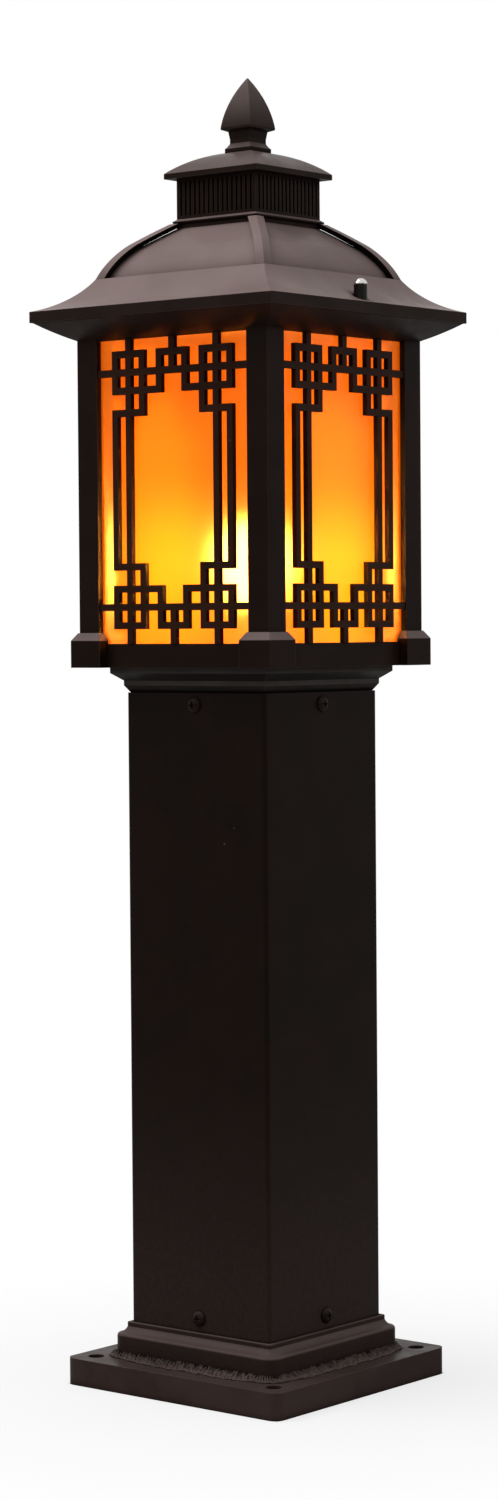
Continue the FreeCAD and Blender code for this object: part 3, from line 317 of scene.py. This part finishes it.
def weld_ripples(collar_half, width, level, rise):
    """The weld round the collar's foot: a lumpy band of overlapping ripples, thick at the collar, ragged and
    thin outside, and narrower at the corners, where it stays clear of the anchor holes."""
    centre = collar_half - WELD_BEND
    arc = math.pi / 2 * (WELD_BEND + width / 2)
    side = 2 * centre + arc
    mesh = bmesh.new()
    rows = []
    for i in range(WELD_AROUND):
        along = 4 * side * i / WELD_AROUND
        turn, rest = divmod(along, side)
        angle = max(0.0, rest - 2 * centre) / arc * math.pi / 2
        out = Vector((math.sin(angle), -math.cos(angle), 0))
        hub = Vector((min(rest, 2 * centre) - centre, -centre, 0))
        start = hub + out * (WELD_BEND - WELD_IN_COLLAR)
        spin = Matrix.Rotation(turn * math.pi / 2, 3, "Z")
        from_corner = max(0.0, min(rest, 2 * centre - rest)) / CORNER_REACH
        wobble = noise.fractal(Vector((along * EDGE_NOISE, 3.1, 0)), 1.0, 2.0, 4)
        spread = width * (0.52 + 0.48 * min(1.0, from_corner)) * (1 + 0.30 * wobble)
        row = []
        for j in range(WELD_ACROSS + 1):
            share = j / WELD_ACROSS
            point = hub + out * (WELD_BEND - WELD_IN_COLLAR + spread * share)
            bow = share * share * RIPPLE_BOW
            ripple = 0.5 + 0.5 * math.sin(2 * math.pi * (along - bow) / RIPPLE_PITCH + 2.5 * wobble)
            lump = noise.fractal(Vector((point.x * LUMP_NOISE, point.y * LUMP_NOISE, turn)), 1.0, 2.0, 4)
            hump = (1 - share) ** 0.55 * (1 - 0.34 * ripple) + (0.42 * lump - 0.04) * (1 - share ** 4)
            tall = rise * max(0.0, min(1.0, hump)) if j < WELD_ACROSS else -WELD_IN_PLATE
            row.append(mesh.verts.new(spin @ Vector((point.x, point.y, level + tall))))
        row.append(mesh.verts.new(spin @ Vector((start.x, start.y, level - WELD_IN_PLATE))))
        rows.append(row)
    for first, second in zip(rows, rows[1:] + rows[:1]):
        for j in range(len(first)):
            k = (j + 1) % len(first)
            mesh.faces.new((first[j], first[k], second[k], second[j]))
    bmesh.ops.recalc_face_normals(mesh, faces=mesh.faces)
    piece = mesh_object("weld_ripples", mesh)
    piece.data.polygons.foreach_set("use_smooth", [True] * len(piece.data.polygons))
    return piece


def numbered(stem):
    return [f"{stem}_{i}" for i in (1, 2, 3, 4)]


def sided(stem):
    return [f"{stem}_{side}" for side in ("front", "right", "back", "left")]


weld_paint = paint("weld_paint", (0.008, 0.0045, 0.0036, 1), (0.044, 0.031, 0.027, 1), rough=0.34, grain=10.0,
                   top_light=0.34, edge_highlight=0.0)
# Every part wears the same dark paint; its deep and light tones differ part by part as painted light, the roof
# and cap lighter as lit from above.
finishes = [
    (paint("roof_paint", (0.0105, 0.0062, 0.0048, 1), (0.0160, 0.0090, 0.0075, 1)),
     ["roof_skirt", "roof_dome"] + numbered("hip_rib")),
    (paint("cap_paint", (0.0085, 0.0048, 0.0036, 1), (0.0130, 0.0072, 0.0055, 1), rough=0.36, top_light=0.45),
     ["roof_cap", "finial"]),
    (paint("column_paint", (0.0050, 0.0030, 0.0021, 1), (0.0078, 0.0036, 0.0026, 1), edge_highlight=0.25,
           paler_near_floor=True),
     ["base_socket", "column"]),
    (paint("collar_paint", (0.0060, 0.0034, 0.0025, 1), (0.0120, 0.0062, 0.0048, 1), top_light=0.36, edge_highlight=0.8,
           paler_near_floor=True),
     ["base_collar"]),
    (paint("plate_paint", (0.0200, 0.0118, 0.0105, 1), (0.0390, 0.0262, 0.0240, 1), top_light=0.15, edge_highlight=0.8,
           paler_near_floor=True),
     ["base_plate"]),
    # The neck's paler tones are a painted reflection of the white floor; where it faces down it carries painted
    # shade.
    (paint("neck_paint", (0.030, 0.024, 0.022, 1), (0.040, 0.034, 0.031, 1), edge_highlight=0.3, shade_under=0.9),
     ["neck"]),
    (paint("frame_paint", (0.0062, 0.0030, 0.0020, 1), (0.0095, 0.0042, 0.0028, 1), top_light=0.75, edge_highlight=0.4),
     ["lantern_tray", "top_frame", "vent_collar"] + numbered("corner_post") + numbered("post_foot")),
    (paint("fret_paint", (0.014, 0.005, 0.003, 1), (0.022, 0.008, 0.004, 1), rough=0.45, edge=0.5 * MM,
           top_light=0.3, edge_highlight=0.2),
     sided("lattice")),
    (paint("screw_paint", (0.006, 0.004, 0.003, 1), (0.010, 0.006, 0.005, 1), rough=0.30, top_light=0.1,
           edge_highlight=0.3),
     ["column_screws_lower", "column_screws_upper"]),
    (weld_paint, ["weld_bead"]),
    (amber_pane("amber"), sided("glass")),
    (lit_bulb("bulb_light"), ["bulb_glass"]),
    (two_tone("nut_finish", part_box("cap_nut_right")[1].z - NUT_BARE_DEPTH, (0.006, 0.004, 0.003, 1),
              (0.62, 0.60, 0.58, 1)),
     ["cap_nut_right", "cap_nut_left"]),
    (metal("zinc", (0.62, 0.62, 0.60, 1), (0.40, 0.40, 0.39, 1)),
     ["neck_bolts", "post_screws_lower", "post_screws_upper", "roof_studs", "stud_washers", "tie_washer",
      "tie_nut", "tie_rod", "lamp_bracket", "bracket_screws", "earth_screw"]),
    (metal("thread_metal", (0.75, 0.73, 0.68, 1), (0.55, 0.53, 0.48, 1), rough=0.25), ["bulb_cap"]),
    (plastic("rubber", (0.018, 0.018, 0.018, 1), (0.03, 0.03, 0.03, 1), 0.8, 600, 0.05 * MM),
     ["roof_gasket"]),
    (plastic("ceramic", (0.80, 0.78, 0.72, 1), (0.70, 0.67, 0.60, 1), 0.2, 90, 0.05 * MM), ["lampholder"]),
    (plastic("black_plastic", (0.02, 0.02, 0.02, 1), (0.035, 0.035, 0.035, 1), 0.5, 900, 0.03 * MM),
     ["cable_gland", "terminal_lead"]),
    (plastic("white_plastic", (0.72, 0.72, 0.68, 1), (0.60, 0.60, 0.56, 1), 0.45, 500, 0.03 * MM),
     ["terminal_block"]),
]
for finish, names in finishes:
    for name in names:
        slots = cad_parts[name].data.materials
        slots.clear()
        slots.append(finish)

bead_low, bead_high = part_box("weld_bead")
collar_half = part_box("base_collar")[1].x
weld = weld_ripples(collar_half, bead_high.x - collar_half + WELD_PAST_BEAD, bead_low.z,
                    bead_high.z - bead_low.z)
weld.data.materials.append(weld_paint)
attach(weld, "lamp")
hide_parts("weld_bead")

# The floor shows its shading near the lamp and turns into the plain background further off. Under the plate it is
# in full shadow, so the anchor holes are dark.
floor_mesh = bmesh.new()
bmesh.ops.create_circle(floor_mesh, cap_ends=True, segments=96, radius=FLOOR_RADIUS)
floor = mesh_object("floor", floor_mesh)
floor_look, floor_nodes, floor_shader = material("floor_look", Roughness=0.9, Specular_IOR_Level=0.1)
floor_place = floor_nodes.place()
floor_tone = floor_nodes.mix(floor_nodes.noise(floor_place, 3, 2), FLOOR_DARKER, FLOOR_PALER)
feed(floor_nodes, floor_shader, Base_Color=floor_tone)
reach = floor_nodes.vector_math("LENGTH", "Value", floor_place)
far = floor_nodes.steps(reach, SHADE_FROM, SHADE_TO, SHADE_LEAST, 1.0)
across, along = (floor_nodes.math("ABSOLUTE", axis) for axis in floor_nodes.axes(floor_place)[:2])
uncovered = floor_nodes.math("GREATER_THAN", floor_nodes.math("MAXIMUM", across, along),
                             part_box("base_plate")[1].x - UNDER_PLATE)
far = floor_nodes.math("MULTIPLY", far, uncovered)
seen = floor_nodes.add("ShaderNodeLightPath").outputs["Is Camera Ray"]
plain = floor_nodes.add("ShaderNodeEmission", {"Color": WHITE, "Strength": 1.0}).outputs[0]
blend = floor_nodes.add("ShaderNodeMixShader", {0: floor_nodes.math("MULTIPLY", far, seen),
                                                1: floor_shader.outputs[0], 2: plain}).outputs[0]
floor_nodes.tree.links.new(blend, floor_look.node_tree.nodes["Material Output"].inputs["Surface"])
floor.data.materials.append(floor_look)

# The world lights the lamp at WORLD_LIGHT, and is white where it is seen, reflected or shows through glass.
world = bpy.data.worlds.new("studio")
world.use_nodes = True
bpy.context.scene.world = world
sky = Nodes(world.node_tree)
path = sky.add("ShaderNodeLightPath").outputs
upward = sky.axes(sky.add("ShaderNodeTexCoord").outputs["Generated"])[2]
shown = sky.math("MAXIMUM", path["Is Glossy Ray"], path["Is Transmission Ray"])
shown = sky.math("MULTIPLY", shown, sky.steps(upward, -0.02, 0.02))
shown = sky.math("MAXIMUM", shown, path["Is Camera Ray"])
background = world.node_tree.nodes["Background"]
background.inputs["Color"].default_value = WHITE
strength = sky.math("MULTIPLY_ADD", shown, 1 - WORLD_LIGHT, WORLD_LIGHT)
sky.tree.links.new(strength, background.inputs["Strength"])


def soft_lamp(name, place, width, height, power, target):
    data = bpy.data.lights.new(name, "AREA")
    data.shape = "RECTANGLE"
    data.size = width
    data.size_y = height
    data.energy = power
    light = bpy.data.objects.new(name, data)
    light.location = place
    light.rotation_euler = (Vector(target) - Vector(place)).to_track_quat("-Z", "Y").to_euler()
    bpy.context.scene.collection.objects.link(light)


soft_lamp("overhead", (-0.9, -0.8, 2.5), 1.6, 1.6, 30, (0, 0, 0.8))
soft_lamp("right_fill", (2.4, 0.7, 1.3), 0.7, 1.8, 4, (0, 0, 0.6))

camera_data = bpy.data.cameras.new("camera")
camera_data.sensor_width = SENSOR_WIDTH
camera_data.lens = LENS
camera = bpy.data.objects.new("camera", camera_data)
bpy.context.scene.collection.objects.link(camera)
bpy.context.scene.camera = camera
ahead = Vector(CAMERA_AHEAD).normalized() * math.cos(CAMERA_PITCH) + Vector((0, 0, -math.sin(CAMERA_PITCH)))
turned = ahead.to_track_quat("-Z", "Y").to_matrix() @ Matrix.Rotation(-CAMERA_ROLL, 3, "Z")
camera.matrix_world = Matrix.Translation(CAMERA_PLACE) @ turned.to_4x4()

bpy.context.scene.view_settings.view_transform = "Standard"
